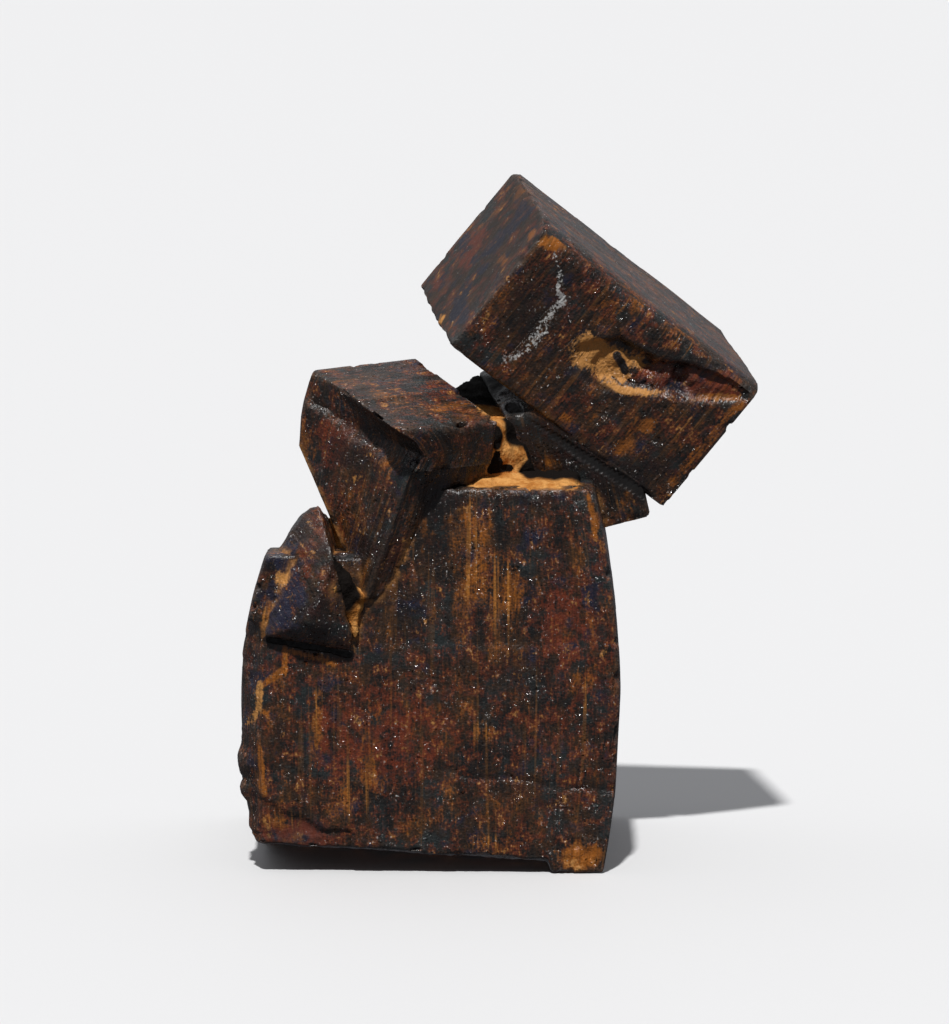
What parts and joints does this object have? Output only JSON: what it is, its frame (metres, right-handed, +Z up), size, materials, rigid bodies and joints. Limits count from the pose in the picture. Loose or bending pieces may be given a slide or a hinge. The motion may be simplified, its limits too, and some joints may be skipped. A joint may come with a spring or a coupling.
{
  "type": "limonite pseudomorph",
  "caption": "Free-standing natural crystal cluster: a large striated cube with smaller cubes and a thick tabular crystal grown through its top, dark brown limonite after pyrite.",
  "frame": {"origin": "on the flat underside that the specimen stands on, under the middle of the large cube", "axes": "+Z up, -Y towards the viewer, +X to the right; the large cube's front face is square to Y and the tabular crystal leans over to the right"},
  "size_m": [0.035, 0.0257, 0.0456],
  "materials": {
    "limonite": "striated, satin to waxy dark brown with rust and ochre patches"
  },
  "bodies": {
    "root": {"crystal_cluster": "limonite"}
  },
  "joints": []
}
